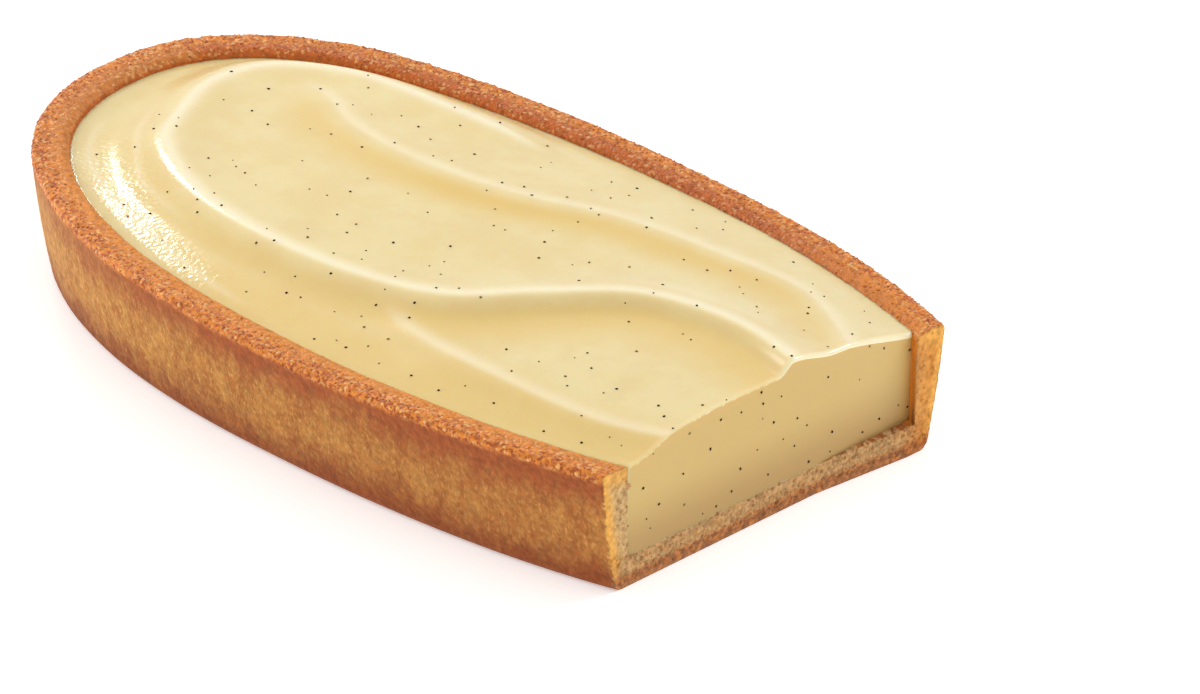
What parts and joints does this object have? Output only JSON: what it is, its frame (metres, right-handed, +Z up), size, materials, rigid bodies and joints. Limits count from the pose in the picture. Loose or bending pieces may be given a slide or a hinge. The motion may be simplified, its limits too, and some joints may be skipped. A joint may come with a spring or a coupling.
{
  "type": "cream tart",
  "caption": "Oval shortcrust tart filled with swirled vanilla cream, cut straight across at one end so that the filling and the section of the crust show.",
  "frame": {"origin": "middle of the underside, at the centre of the bounding box", "axes": "+X along the tart from the rounded end to the flat cut face, +Z up through the cream"},
  "size_m": [0.144, 0.087, 0.0255],
  "materials": {
    "pastry": "baked shortcrust, sandy and dull, darker along the rim and the foot and pale where it is cut",
    "cream": "set vanilla cream, pale yellow with a satin gloss on top and duller on the cut face",
    "vanilla_seeds": "dark brown, dull specks"
  },
  "bodies": {
    "root": {"pastry_shell": "pastry", "vanilla_cream": "cream"}
  },
  "joints": []
}
